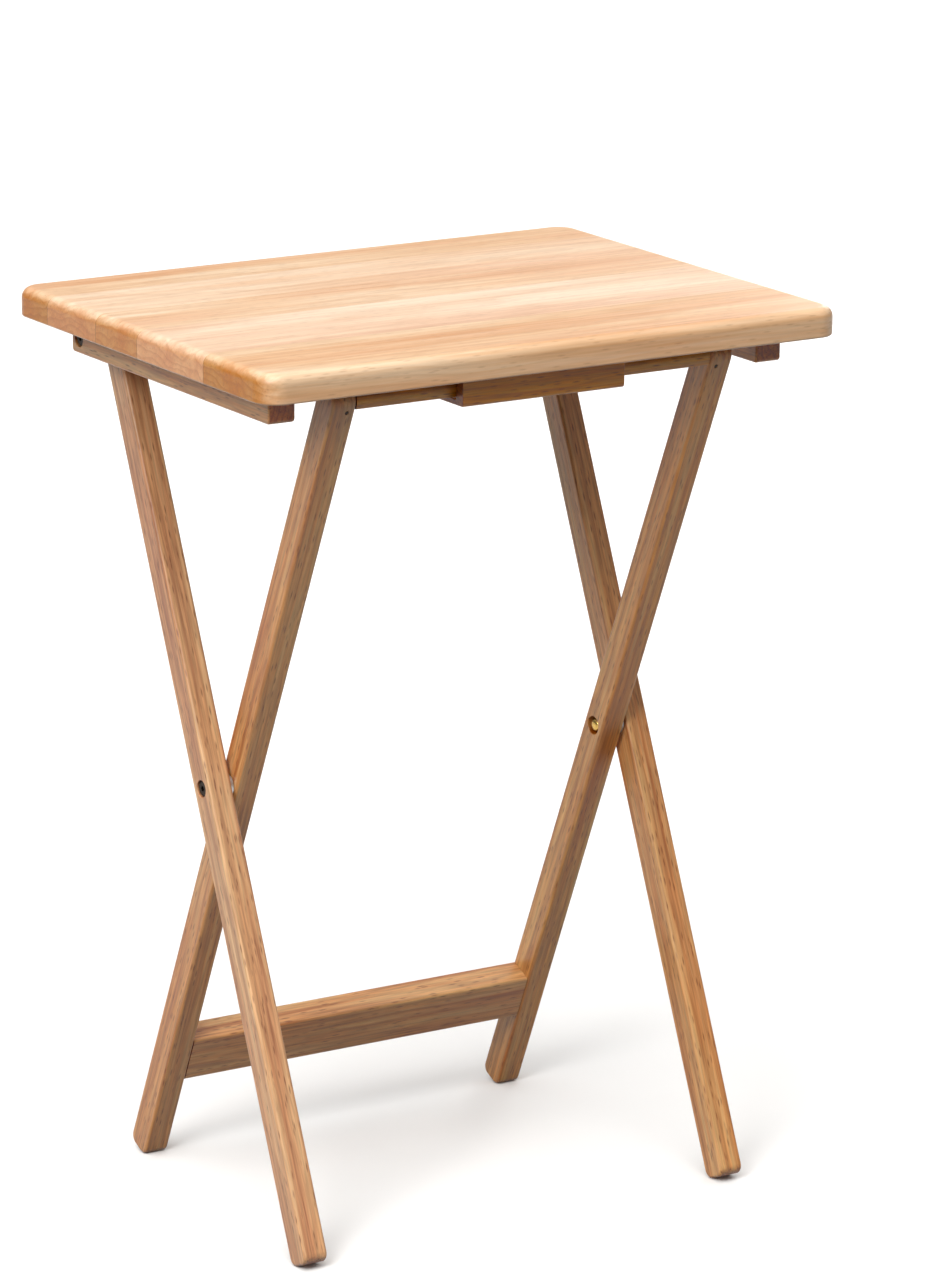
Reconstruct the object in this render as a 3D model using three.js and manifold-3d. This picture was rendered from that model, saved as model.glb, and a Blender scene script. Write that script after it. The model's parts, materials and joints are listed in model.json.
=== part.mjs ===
// Folding tray table: a wooden top on two crossing leg pairs.
//
// Millimetres. +Z is up, +X runs along the long side of the top and -Y is the front.
// The origin is on the floor, under the middle of the top.
//
// The outer legs hinge on the cleats at the back of the top. The inner legs cross them at
// the centre bolts, and their rounded tops slide under the top. A crossbar between the inner
// legs sits in the latch block while the table is open.

import * as THREE from 'three';
import { mergeVertices } from 'three/addons/utils/BufferGeometryUtils.js';
import Module from 'manifold-3d';

const wasm = await Module();
wasm.setup();

// ---------------------------------------------------------------- driving dimensions

const TOP_WIDTH = 483;
const TOP_DEPTH = 368;
const TOP_THICKNESS = 21.5;
const TABLE_HEIGHT = 670;
const TOP_CORNER = 18;
const TOP_ROUNDOVER = 8;
const TOP_UNDER_EASE = 1.5;

const LEG_WIDTH = 23;
const LEG_THICKNESS = 19.5;
const LEG_EASE = 2.2;
const FOOT_CORNER = 7;
const LEG_TILT = 23.5 * Math.PI / 180;
const INNER_LEG_X = 148.8;
const LEG_GAP = 3.2;

const CENTRE_Y = -4.3;
const CENTRE_Z = 325;

const CLEAT_WIDTH = 21.5;
const CLEAT_HEIGHT = 23;
const CLEAT_FRONT = -144;
const CLEAT_BACK = 141.5;
const CLEAT_CORNER = 3;

const STRETCHER_HEIGHT = 38.5;
const STRETCHER_DEPTH = 21.5;
const STRETCHER_Z = 86.5;
const STRETCHER_EASE = 1.2;

const LATCH_LENGTH = 136;
const LATCH_WALL = 10;
const LATCH_LIP = 4.6;
const LATCH_REACH = 32.5;

const FIT_GAP = 0.3;      // air between two pieces that touch
const SLIDE_GAP = 0.4;    // air between the leg tops and the underside
const ROUND = 24;           // facets round a full turn

// ---------------------------------------------------------------- derived places

const UNDERSIDE = TABLE_HEIGHT - TOP_THICKNESS;
const LEG_RADIUS = LEG_WIDTH / 2;
const PIVOT_Z = UNDERSIDE - LEG_RADIUS - SLIDE_GAP;

// The legs cross at the centre and reach the same distance either way, which keeps the top level.
const REACH_TOP = (PIVOT_Z - CENTRE_Z) * Math.tan(LEG_TILT);

// A foot is sawn square to its leg and its two corners are rounded. The leg ends at the line
// through the middles of those two rounds, which is this high when the lower one meets the floor.
const FOOT_SPREAD = LEG_RADIUS - FOOT_CORNER;
const FOOT_Z = FOOT_CORNER + FOOT_SPREAD * Math.sin(LEG_TILT);
const REACH_FOOT = (CENTRE_Z - FOOT_Z) * Math.tan(LEG_TILT);
const HINGE = { y: CENTRE_Y + REACH_TOP, z: PIVOT_Z };
const BAR = { y: CENTRE_Y - REACH_TOP, z: PIVOT_Z };
const FRONT_FOOT = { y: CENTRE_Y - REACH_FOOT, z: FOOT_Z };
const BACK_FOOT = { y: CENTRE_Y + REACH_FOOT, z: FOOT_Z };
const CENTRE = { y: CENTRE_Y, z: CENTRE_Z };

// Up along the inner legs, and out of their front face.
const UP = { y: -Math.sin(LEG_TILT), z: Math.cos(LEG_TILT) };
const OUT = { y: -Math.cos(LEG_TILT), z: -Math.sin(LEG_TILT) };

const INNER_OUTER_X = INNER_LEG_X + LEG_THICKNESS;
const OUTER_LEG_X = INNER_OUTER_X + LEG_GAP;
const OUTER_OUTER_X = OUTER_LEG_X + LEG_THICKNESS;
const CLEAT_X = OUTER_OUTER_X + LEG_GAP;
const CLEAT_OUTER_X = CLEAT_X + CLEAT_WIDTH;

// A point on the inner legs' line: so far up the leg, and so far out of its front face.
function onInnerLeg(origin, up, out) {
  return {
    y: origin.y + UP.y * up + OUT.y * out,
    z: origin.z + UP.z * up + OUT.z * out,
  };
}

const STRETCHER_UP = (STRETCHER_Z - CENTRE_Z) / Math.cos(LEG_TILT);
const STRETCHER = onInnerLeg(CENTRE, STRETCHER_UP, 0);

// ---------------------------------------------------------------- materials

const FINISH = {
  topWood: { color: 0xe0b98c, roughness: 0.42, metalness: 0 },
  frameWood: { color: 0xc3946a, roughness: 0.45, metalness: 0 },
  dowelWood: { color: 0xcfae80, roughness: 0.7, metalness: 0 },
  brass: { color: 0xb99a5b, roughness: 0.32, metalness: 1 },
  darkSteel: { color: 0x3a3632, roughness: 0.45, metalness: 1 },
  zincSteel: { color: 0xa9abad, roughness: 0.35, metalness: 1 },
};

// ---------------------------------------------------------------- solids and booleans

function toManifold(geometry) {
  let clean = geometry.clone();
  clean.deleteAttribute('normal');
  clean.deleteAttribute('uv');
  clean = mergeVertices(clean, 1e-4);
  return new wasm.Manifold(new wasm.Mesh({
    numProp: 3,
    vertProperties: new Float32Array(clean.attributes.position.array),
    triVerts: new Uint32Array(clean.index.array),
  }));
}

function toGeometry(solid) {
  const mesh = solid.getMesh();
  const geometry = new THREE.BufferGeometry();
  geometry.setAttribute('position', new THREE.BufferAttribute(new Float32Array(mesh.vertProperties), 3));
  geometry.setIndex(new THREE.BufferAttribute(new Uint32Array(mesh.triVerts), 1));
  const flat = geometry.toNonIndexed();
  flat.computeVertexNormals();
  return flat;
}

function cut(body, tools) {
  let solid = toManifold(body);
  for (const tool of tools) {
    solid = solid.subtract(toManifold(tool));
  }
  return toGeometry(solid);
}

function join(first, second) {
  return toGeometry(toManifold(first).add(toManifold(second)));
}

// An outline in the (y, z) plane, extruded along x from x0 to x1 with eased long edges.
function alongX(outline, x0, x1, ease = 0) {
  const geometry = new THREE.ExtrudeGeometry(outline, {
    depth: x1 - x0 - 2 * ease,
    bevelEnabled: ease > 0,
    bevelThickness: ease,
    bevelSize: ease,
    bevelOffset: -ease,
    bevelSegments: 2,
    curveSegments: ROUND / 2,
  });
  const turn = new THREE.Matrix4().makeBasis(
    new THREE.Vector3(0, 1, 0), new THREE.Vector3(0, 0, 1), new THREE.Vector3(1, 0, 0));
  geometry.applyMatrix4(turn);
  geometry.translate(x0 + ease, 0, 0);
  return geometry;
}

// A turned solid: [radius, distance] pairs from one end to the other. It stands on `base` and
// points along `direction`.
function turned(profile, base, direction) {
  const points = profile.map(([radius, along]) => new THREE.Vector2(radius, along));
  const geometry = new THREE.LatheGeometry(points, ROUND);
  const swing = new THREE.Quaternion().setFromUnitVectors(
    new THREE.Vector3(0, 1, 0), new THREE.Vector3(...direction).normalize());
  geometry.applyQuaternion(swing);
  geometry.translate(...base);
  return geometry;
}

// A plain pin or drill along x, between x0 and x1.
function rodX(radius, x0, x1, at) {
  const geometry = new THREE.CylinderGeometry(radius, radius, x1 - x0, ROUND);
  geometry.rotateZ(-Math.PI / 2);
  geometry.translate((x0 + x1) / 2, at.y, at.z);
  return geometry;
}

// The same solid on the other side of the table.
function mirrored(geometry) {
  const copy = geometry.index ? geometry.toNonIndexed() : geometry.clone();
  copy.scale(-1, 1, 1);
  const position = copy.attributes.position;
  for (let i = 0; i < position.count; i += 3) {
    const x = position.getX(i);
    const y = position.getY(i);
    const z = position.getZ(i);
    position.setXYZ(i, position.getX(i + 1), position.getY(i + 1), position.getZ(i + 1));
    position.setXYZ(i + 1, x, y, z);
  }
  copy.computeVertexNormals();
  return copy;
}

// ---------------------------------------------------------------- the assembly

const table = new THREE.Group();
table.name = 'folding_tray_table';

function add(name, geometry, finish) {
  const mesh = new THREE.Mesh(geometry, new THREE.MeshStandardMaterial(FINISH[finish]));
  mesh.name = name;
  table.add(mesh);
}

// Most pieces come in pairs: the one modelled at +X is the right one.
function addPair(name, geometry, finish) {
  add(`${name}_right`, geometry, finish);
  add(`${name}_left`, mirrored(geometry), finish);
}

// ---------------------------------------------------------------- fasteners

const BORE = 3.3;

// Pivot bolt: a flat round head in a recess, and a shank towards the middle of the table.
const BOLT = { shank: 3, head: 5.7, headThickness: 3, recess: 6.3, recessDepth: 4.5 };

// Its cap nut and washer sit in a recess in the inner leg, below the surface.
const NUT = { radius: 4.7, height: 4.8, pocket: 3.6, recess: 7, recessDepth: 7.2 };
const WASHER = { radius: 6.6, thickness: 1.4 };

function pivotBolt(outerFace, innerEnd, at) {
  const seat = outerFace - BOLT.recessDepth + FIT_GAP;
  const headTop = seat + BOLT.headThickness;
  const length = headTop - innerEnd;
  const underHead = length - BOLT.headThickness;
  return turned([
    [0, 0],
    [BOLT.shank - 0.6, 0],
    [BOLT.shank, 0.8],
    [BOLT.shank, underHead],
    [BOLT.head, underHead],
    [BOLT.head, length - 0.6],
    [BOLT.head - 0.6, length],
    [0, length],
  ], [innerEnd, at.y, at.z], [1, 0, 0]);
}

function washer(radius, x0, x1, at) {
  return turned([
    [BORE, 0],
    [radius, 0],
    [radius, x1 - x0],
    [BORE, x1 - x0],
    [BORE, 0],
  ], [x0, at.y, at.z], [1, 0, 0]);
}

// Countersunk wood screw, driven up from below. `at` is the face its head is level with.
function woodScrew(shank, head, length, x, y, z, grow = 0) {
  const cone = head - shank;
  const tip = grow > 0 ? length + 1 : length;
  return turned([
    [0, -grow],
    [head + grow, -grow],
    [head + grow, 0.6],
    [shank + grow, 0.6 + cone],
    [shank + grow, tip - 4],
    [0.4 + grow, tip],
    [0, tip],
  ], [x, y, z], [0, 0, 1]);
}

const CLEAT_SCREW = { shank: 2, head: 4, length: 34 };
const CLEAT_SCREWS = { front: -118, middle: -6, back: 104 };
const LATCH_SCREW = { shank: 1.8, head: 3.4, length: 34 };
const LATCH_SCREW_X = 46;

const CLEAT_BOTTOM = UNDERSIDE - CLEAT_HEIGHT;
const CLEAT_MIDDLE_X = (CLEAT_X + CLEAT_OUTER_X) / 2;
const SUNK = 0.5;

function cleatScrew(side, y, grow) {
  const { shank, head, length } = CLEAT_SCREW;
  return woodScrew(shank, head, length, side * CLEAT_MIDDLE_X, y, CLEAT_BOTTOM + SUNK, grow);
}

// ---------------------------------------------------------------- latch block

const BAR_RADIUS = LEG_RADIUS - FIT_GAP;
const BAR_BELOW = 2.2;
const BAR_LOWEST = onInnerLeg(BAR, -BAR_BELOW, BAR_RADIUS).z;
const LIP_TOP = BAR_LOWEST - 0.5;
const LIP_BOTTOM = LIP_TOP - LATCH_LIP;
const WALL_INNER = BAR.y - BAR_RADIUS - 0.5;
const WALL_OUTER = WALL_INNER - LATCH_WALL;

function latchScrew(side, grow) {
  const { shank, head, length } = LATCH_SCREW;
  const y = (WALL_INNER + WALL_OUTER) / 2;
  return woodScrew(shank, head, length, side * LATCH_SCREW_X, y, LIP_BOTTOM + SUNK, grow);
}

const latchOutline = new THREE.Shape();
latchOutline.moveTo(WALL_OUTER, UNDERSIDE - FIT_GAP);
latchOutline.lineTo(WALL_OUTER, LIP_BOTTOM + 2.5);
latchOutline.quadraticCurveTo(WALL_OUTER, LIP_BOTTOM, WALL_OUTER + 2.5, LIP_BOTTOM);
latchOutline.lineTo(WALL_OUTER + LATCH_REACH - 1.5, LIP_BOTTOM);
latchOutline.lineTo(WALL_OUTER + LATCH_REACH, LIP_BOTTOM + 1.5);
latchOutline.lineTo(WALL_OUTER + LATCH_REACH, LIP_TOP - 1);
latchOutline.lineTo(WALL_OUTER + LATCH_REACH - 1, LIP_TOP);
latchOutline.lineTo(WALL_INNER, LIP_TOP);
latchOutline.lineTo(WALL_INNER, UNDERSIDE - FIT_GAP);
latchOutline.closePath();

const latch = alongX(latchOutline, -LATCH_LENGTH / 2, LATCH_LENGTH / 2);
add('latch_block', cut(latch, [latchScrew(1, FIT_GAP), latchScrew(-1, FIT_GAP)]), 'frameWood');
addPair('latch_screw', latchScrew(1, 0), 'zincSteel');

// ---------------------------------------------------------------- tabletop

function roundedRectangle(width, depth, radius) {
  const x = width / 2;
  const y = depth / 2;
  const shape = new THREE.Shape();
  shape.moveTo(-x + radius, -y);
  shape.lineTo(x - radius, -y);
  shape.absarc(x - radius, -y + radius, radius, -Math.PI / 2, 0);
  shape.lineTo(x, y - radius);
  shape.absarc(x - radius, y - radius, radius, 0, Math.PI / 2);
  shape.lineTo(-x + radius, y);
  shape.absarc(-x + radius, y - radius, radius, Math.PI / 2, Math.PI);
  shape.lineTo(-x, -y + radius);
  shape.absarc(-x + radius, -y + radius, radius, Math.PI, Math.PI * 1.5);
  return shape;
}

// A slab whose top and bottom edges are both rounded over by `ease`.
function slab(z0, z1, ease, segments) {
  const outline = roundedRectangle(TOP_WIDTH, TOP_DEPTH, TOP_CORNER);
  const geometry = new THREE.ExtrudeGeometry(outline, {
    depth: z1 - z0 - 2 * ease,
    bevelThickness: ease,
    bevelSize: ease,
    bevelOffset: -ease,
    bevelSegments: segments,
    curveSegments: 8,
  });
  geometry.translate(0, 0, z0 + ease);
  return geometry;
}

const topScrewHoles = [latchScrew(1, FIT_GAP), latchScrew(-1, FIT_GAP)];
for (const y of Object.values(CLEAT_SCREWS)) {
  topScrewHoles.push(cleatScrew(1, y, FIT_GAP), cleatScrew(-1, y, FIT_GAP));
}

// The soft top edge and the nearly square lower edge come from two slabs joined.
const softSlab = slab(UNDERSIDE, TABLE_HEIGHT, TOP_ROUNDOVER, 4);
const squareSlab = slab(UNDERSIDE, TABLE_HEIGHT - TOP_ROUNDOVER, TOP_UNDER_EASE, 1);
add('tabletop', cut(join(softSlab, squareSlab), topScrewHoles), 'topWood');

// ---------------------------------------------------------------- cleats

const cleatTop = UNDERSIDE - FIT_GAP;
const cleatOutline = new THREE.Shape();
cleatOutline.moveTo(CLEAT_FRONT, cleatTop);
cleatOutline.lineTo(CLEAT_FRONT, CLEAT_BOTTOM + CLEAT_CORNER);
cleatOutline.absarc(CLEAT_FRONT + CLEAT_CORNER, CLEAT_BOTTOM + CLEAT_CORNER, CLEAT_CORNER,
  Math.PI, Math.PI * 1.5);
cleatOutline.lineTo(CLEAT_BACK - CLEAT_CORNER, CLEAT_BOTTOM);
cleatOutline.absarc(CLEAT_BACK - CLEAT_CORNER, CLEAT_BOTTOM + CLEAT_CORNER, CLEAT_CORNER,
  Math.PI * 1.5, Math.PI * 2);
cleatOutline.lineTo(CLEAT_BACK, cleatTop);
cleatOutline.closePath();

const cleatDrills = [
  rodX(BORE, CLEAT_X - 1, CLEAT_OUTER_X + 1, HINGE),
  rodX(BOLT.recess, CLEAT_OUTER_X - BOLT.recessDepth, CLEAT_OUTER_X + 1, HINGE),
];
for (const y of Object.values(CLEAT_SCREWS)) {
  cleatDrills.push(cleatScrew(1, y, FIT_GAP));
}
addPair('cleat', cut(alongX(cleatOutline, CLEAT_X, CLEAT_OUTER_X, 1), cleatDrills), 'frameWood');
for (const [place, y] of Object.entries(CLEAT_SCREWS)) {
  addPair(`cleat_screw_${place}`, cleatScrew(1, y, 0), 'zincSteel');
}

// ---------------------------------------------------------------- legs

// A bar with a full round at its top pivot and a foot with two rounded corners.
function legOutline(top, foot) {
  const along = Math.atan2(top.z - foot.z, top.y - foot.y);
  const side = { y: -Math.sin(along) * FOOT_SPREAD, z: Math.cos(along) * FOOT_SPREAD };
  const shape = new THREE.Shape();
  shape.absarc(top.y, top.z, LEG_RADIUS, along - Math.PI / 2, along + Math.PI / 2);
  shape.absarc(foot.y + side.y, foot.z + side.z, FOOT_CORNER,
    along + Math.PI / 2, along + Math.PI);
  shape.absarc(foot.y - side.y, foot.z - side.z, FOOT_CORNER,
    along + Math.PI, along + Math.PI * 1.5);
  shape.closePath();
  return shape;
}

const INSERT = { radius: 4.8, length: 12 };
const outerLegDrills = [
  rodX(BORE, OUTER_LEG_X - 1, OUTER_OUTER_X + 1, CENTRE),
  rodX(BOLT.recess, OUTER_OUTER_X - BOLT.recessDepth, OUTER_OUTER_X + 1, CENTRE),
  rodX(BORE, OUTER_LEG_X - 1, OUTER_OUTER_X + 1, HINGE),
  rodX(INSERT.radius + FIT_GAP, OUTER_LEG_X - 1, OUTER_LEG_X + INSERT.length + 2 * FIT_GAP, HINGE),
];
const outerLeg = alongX(legOutline(HINGE, FRONT_FOOT), OUTER_LEG_X, OUTER_OUTER_X, LEG_EASE);
addPair('outer_leg', cut(outerLeg, outerLegDrills), 'frameWood');

const DOWEL = { radius: 4, depth: 14, spacing: 20 };

function dowel(at, grow) {
  const reach = DOWEL.depth + grow;
  return rodX(DOWEL.radius + grow, INNER_LEG_X - reach, INNER_LEG_X + reach, at);
}

const dowelPlaces = {
  stretcher_dowel_upper: onInnerLeg(STRETCHER, DOWEL.spacing / 2, 0),
  stretcher_dowel_lower: onInnerLeg(STRETCHER, -DOWEL.spacing / 2, 0),
  crossbar_dowel: onInnerLeg(BAR, 3.6, 0),
};

const BRAD = { radius: 0.7, head: 1.3, length: 16, x: INNER_LEG_X + 6.7, up: -3.6 };

function brad(grow) {
  const mouth = onInnerLeg(BAR, BRAD.up, LEG_RADIUS - 0.3 + grow);
  return turned([
    [0, 0],
    [BRAD.head + grow, 0],
    [BRAD.head + grow, 1 + 2 * grow],
    [BRAD.radius + grow, 1 + 2 * grow],
    [BRAD.radius + grow, BRAD.length + 2 * grow],
    [0, BRAD.length + 2 * grow],
  ], [BRAD.x, mouth.y, mouth.z], [0, -OUT.y, -OUT.z]);
}

const innerLegDrills = [
  rodX(BORE, INNER_LEG_X - 1, INNER_OUTER_X + 1, CENTRE),
  rodX(NUT.recess, INNER_LEG_X - 1, INNER_LEG_X + NUT.recessDepth, CENTRE),
  brad(FIT_GAP),
];
for (const at of Object.values(dowelPlaces)) {
  innerLegDrills.push(dowel(at, FIT_GAP));
}
const innerLeg = alongX(legOutline(BAR, BACK_FOOT), INNER_LEG_X, INNER_OUTER_X, LEG_EASE);
addPair('inner_leg', cut(innerLeg, innerLegDrills), 'frameWood');
addPair('crossbar_brad', brad(0), 'darkSteel');
for (const [name, at] of Object.entries(dowelPlaces)) {
  addPair(name, dowel(at, 0), 'dowelWood');
}

// ---------------------------------------------------------------- stretcher and crossbar

const BAR_HALF_LENGTH = INNER_LEG_X - FIT_GAP;

function acrossInnerLegs(outline, dowels, ease) {
  const drills = [];
  for (const at of dowels) {
    const drill = dowel(at, FIT_GAP);
    drills.push(drill, mirrored(drill));
  }
  return cut(alongX(outline, -BAR_HALF_LENGTH, BAR_HALF_LENGTH, ease), drills);
}

// Each corner of the stretcher is eased by a short flat across it.
const stretcherPoints = [];
for (const [front, top] of [[1, 1], [-1, 1], [-1, -1], [1, -1]]) {
  const up = top * STRETCHER_HEIGHT / 2;
  const out = front * STRETCHER_DEPTH / 2;
  const pair = [
    onInnerLeg(STRETCHER, up - top * STRETCHER_EASE, out),
    onInnerLeg(STRETCHER, up, out - front * STRETCHER_EASE),
  ];
  stretcherPoints.push(...(front === top ? pair : pair.reverse()));
}
const stretcherOutline = new THREE.Shape(
  stretcherPoints.map((point) => new THREE.Vector2(point.y, point.z)));
const stretcherDowels = [dowelPlaces.stretcher_dowel_upper, dowelPlaces.stretcher_dowel_lower];
add('lower_stretcher', acrossInnerLegs(stretcherOutline, stretcherDowels, 0), 'frameWood');

// The crossbar's top is rounded like the leg ends, so it slides under the top as the legs close.
const frontAngle = Math.atan2(OUT.z, OUT.y) + Math.PI * 2;
const barFront = onInnerLeg(BAR, -BAR_BELOW, BAR_RADIUS);
const barBack = onInnerLeg(BAR, -BAR_BELOW, -BAR_RADIUS);
const barOutline = new THREE.Shape();
barOutline.moveTo(barFront.y, barFront.z);
barOutline.lineTo(barBack.y, barBack.z);
barOutline.absarc(BAR.y, BAR.z, BAR_RADIUS, frontAngle - Math.PI, frontAngle);
barOutline.closePath();
add('upper_crossbar', acrossInnerLegs(barOutline, [dowelPlaces.crossbar_dowel], 0), 'frameWood');

// ---------------------------------------------------------------- centre pivots

const washerFace = INNER_LEG_X + NUT.recessDepth - FIT_GAP;
const nutFace = washerFace - WASHER.thickness - FIT_GAP;

// Cap nut: a blind thread pocket that opens towards the leg, and a domed end.
const capNut = turned([
  [0, NUT.height - NUT.pocket],
  [BORE, NUT.height - NUT.pocket],
  [BORE, NUT.height],
  [NUT.radius, NUT.height],
  [NUT.radius, 2],
  [NUT.radius - 0.7, 0.8],
  [NUT.radius - 2.2, 0.2],
  [0, 0],
].reverse(), [nutFace - NUT.height, CENTRE.y, CENTRE.z], [1, 0, 0]);

const nutWasher = washer(WASHER.radius, washerFace - WASHER.thickness, washerFace, CENTRE);
const spacer = washer(9, INNER_OUTER_X + FIT_GAP, OUTER_LEG_X - FIT_GAP, CENTRE);

addPair('centre_bolt', pivotBolt(OUTER_OUTER_X, nutFace - NUT.pocket + 0.6, CENTRE), 'darkSteel');
addPair('centre_spacer', spacer, 'zincSteel');
addPair('centre_nut_washer', nutWasher, 'darkSteel');
addPair('centre_cap_nut', capNut, 'brass');

// ---------------------------------------------------------------- top pivots

const insertFace = OUTER_LEG_X + FIT_GAP;
const insert = washer(INSERT.radius, insertFace, insertFace + INSERT.length, HINGE);
const hingeSpacer = washer(9, OUTER_OUTER_X + FIT_GAP, CLEAT_X - FIT_GAP, HINGE);

addPair('top_pivot_bolt', pivotBolt(CLEAT_OUTER_X, insertFace + 1, HINGE), 'darkSteel');
addPair('top_pivot_spacer', hingeSpacer, 'zincSteel');
addPair('top_pivot_insert', insert, 'brass');

export default table;
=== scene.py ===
# %% [markdown]
# # A folding tray table in satin-lacquered rubberwood
#
# The real table is a small workshop job: a panel glued up from five staves, two pairs of
# crossing legs that turn on bolts, and a wooden hook under the panel that catches the bar
# between the inner legs. The loaded model gives every joint and every size. This script gives
# each piece the shape and the finish that the eye sees.
#
# The model is loaded first and its box is kept, so that every later place is worked out from
# it and nothing is fitted by eye.

# %% Load the model
import json
import math

import bmesh
import bpy
from mathutils import Matrix, Vector


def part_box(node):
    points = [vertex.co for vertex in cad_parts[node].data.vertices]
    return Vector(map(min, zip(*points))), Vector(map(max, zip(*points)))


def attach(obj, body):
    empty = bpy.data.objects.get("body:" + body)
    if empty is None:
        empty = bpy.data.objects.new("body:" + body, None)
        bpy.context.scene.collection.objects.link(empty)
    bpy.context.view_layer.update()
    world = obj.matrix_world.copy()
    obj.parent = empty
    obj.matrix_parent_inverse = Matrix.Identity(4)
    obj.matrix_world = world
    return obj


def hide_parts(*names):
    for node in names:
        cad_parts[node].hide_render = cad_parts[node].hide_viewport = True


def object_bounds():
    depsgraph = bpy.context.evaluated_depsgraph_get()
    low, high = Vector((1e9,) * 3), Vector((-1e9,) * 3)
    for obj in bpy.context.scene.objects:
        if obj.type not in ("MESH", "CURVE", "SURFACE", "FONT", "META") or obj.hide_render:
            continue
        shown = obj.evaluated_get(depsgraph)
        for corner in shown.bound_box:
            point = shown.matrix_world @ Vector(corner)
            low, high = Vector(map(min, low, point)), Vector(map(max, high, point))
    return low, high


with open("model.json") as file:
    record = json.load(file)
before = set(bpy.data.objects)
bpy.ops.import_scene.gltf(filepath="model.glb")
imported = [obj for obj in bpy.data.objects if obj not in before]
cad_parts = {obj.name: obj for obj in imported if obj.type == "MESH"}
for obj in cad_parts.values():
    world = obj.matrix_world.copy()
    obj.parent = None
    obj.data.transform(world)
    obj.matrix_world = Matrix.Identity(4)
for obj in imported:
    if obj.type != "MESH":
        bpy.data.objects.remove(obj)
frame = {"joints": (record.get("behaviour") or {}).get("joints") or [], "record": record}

MM = 0.001
model_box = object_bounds()
body_of_node = {
    node: body
    for body, nodes in frame["record"]["behaviour"]["bodies"].items()
    for node in nodes
}
print("model box", [[round(c / MM, 1) for c in corner] for corner in model_box])
print(len(body_of_node), "pieces on", sorted(set(body_of_node.values())))

# %% [markdown]
# ## Places that everything hangs on
#
# A folding table is drawn from its pivots outwards. The centre pivot and the top pivot are the
# two joints of the model, so their places could be typed in again or read from the joints.
# Reading them keeps one source of truth. The inner legs lean the other way by the same angle,
# which gives the place of the crossbar.

# %% Pivots and leg directions
joint_places = {joint["name"]: Vector(joint["pos_m"]) for joint in frame["joints"]}
centre_pivot = joint_places["leg_fold"]
top_pivot = joint_places["top_tilt"]
across = Vector((1, 0, 0))
outer_up = (top_pivot - centre_pivot).normalized()
inner_up = Vector((0, -outer_up.y, outer_up.z))
crossbar_place = centre_pivot + inner_up * (top_pivot - centre_pivot).length

outer_low, outer_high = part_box("outer_leg_right")
leg_radius = outer_high.z - top_pivot.z
leg_thickness = outer_high.x - outer_low.x
print("leg", round(2 * leg_radius / MM, 1), "by", round(leg_thickness / MM, 1), "mm")
print("lean", round(math.degrees(math.atan2(outer_up.y, outer_up.z)), 1), "degrees")

# %% [markdown]
# ## Colours and shader nodes
#
# A colour picked on a screen is an sRGB code, but a shader adds light, which needs linear
# numbers. One function turns the code into linear light, so every colour below can be written
# the way a paint chart gives it. A second small function adds a shader node, its settings and
# its links in one go, which keeps a long material readable from top to bottom.

# %% Helpers for materials
def linear(code):
    """An sRGB hex code as the linear red, green, blue and alpha that a shader uses."""
    shares = [int(code[i:i + 2], 16) / 255 for i in (1, 3, 5)]
    light = [s / 12.92 if s <= 0.04045 else ((s + 0.055) / 1.055) ** 2.4 for s in shares]
    return (*light, 1.0)


def add_node(tree, kind, inputs=None, **settings):
    """A shader node. Each input is given a plain value, or an output socket to link from."""
    node = tree.nodes.new(kind)
    for name, value in settings.items():
        setattr(node, name, value)
    for name, value in (inputs or {}).items():
        socket = node.inputs[name]
        if isinstance(value, bpy.types.NodeSocket):
            tree.links.new(value, socket)
        else:
            socket.default_value = value
    return node


def add_stops(tree, factor, stops):
    """A ramp from (place, value) pairs. A value is a hex colour, or a grey from 0 to 1."""
    ramp = add_node(tree, "ShaderNodeValToRGB", {"Fac": factor})
    elements = ramp.color_ramp.elements
    while len(elements) < len(stops):
        elements.new(0.5)
    for element, (place, value) in zip(elements, stops):
        element.position = place
        element.color = linear(value) if isinstance(value, str) else (value, value, value, 1)
    return ramp


def empty_material(name):
    """A material with just its output, and the node tree to fill."""
    material = bpy.data.materials.new(name)
    material.use_nodes = True
    material.node_tree.nodes.clear()
    return material, material.node_tree


print("honey brown is", [round(share, 3) for share in linear("#C3946A")])

# %% [markdown]
# ## Rubberwood under satin lacquer
#
# The timber is rubberwood, a pale plantation hardwood that goes from cream to pinkish brown.
# Planing shows three things along the grain: soft growth bands some 6 mm apart, long streaks a
# few millimetres wide, and the open vessels, which look like short dark dashes. Where a board
# is cut across, the same timber drinks more lacquer and looks darker and redder. Satin lacquer
# leaves a soft, even shine.
#
# A picture of wood could be wrapped round each piece, but it would break at every corner.
# Instead the pattern is solid: every piece is made with its x axis along the grain, and each
# pattern is a three-dimensional one, squeezed along x. So the streaks on a face run round the
# edge and end as dots on the end grain, as they do in a real board.
#
# Four values travel with each mesh. `own_place` is each point's place on the piece's own axes,
# so that the grain runs up a leaning leg. `board` picks another place in the log, `tone` makes
# a board paler or deeper, and `end_grain` says how far a face looks along the grain. On the
# crossbar and the hook, a deeper tone is partly their own wood and partly painted shade.

# %% The solid wood pattern
BAND_SPACING = 6.0            # mm between growth bands
BAND_WANDER = 26              # mm that a band strays from a true circle
WANDER_SIZE = (190, 34, 34)
STREAK_SIZE = (210, 5.5, 5.5)
CLOUD_SIZE = (380, 30, 30)
FIBRE_SIZE = (30, 1.7, 1.7)   # real fibres are nearer 0.1 mm: drawn coarser so that they show
VESSEL_SIZE = (15, 2.6, 2.6)  # one dash to a cell. A real one is 0.2 mm wide: drawn coarser
VESSEL_TINT = "#74381A"
LOG_STEP = (913, 137, 71)     # mm from one board's place in the log to the next
HEART_NEAR = (0, -65, -48)    # mm from a board's middle: one corner of where the heart can be
HEART_SPREAD = (0, 130, -70)  # mm from that corner to the opposite one
TAPER = 0.02                  # a log narrows by this much per length


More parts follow.
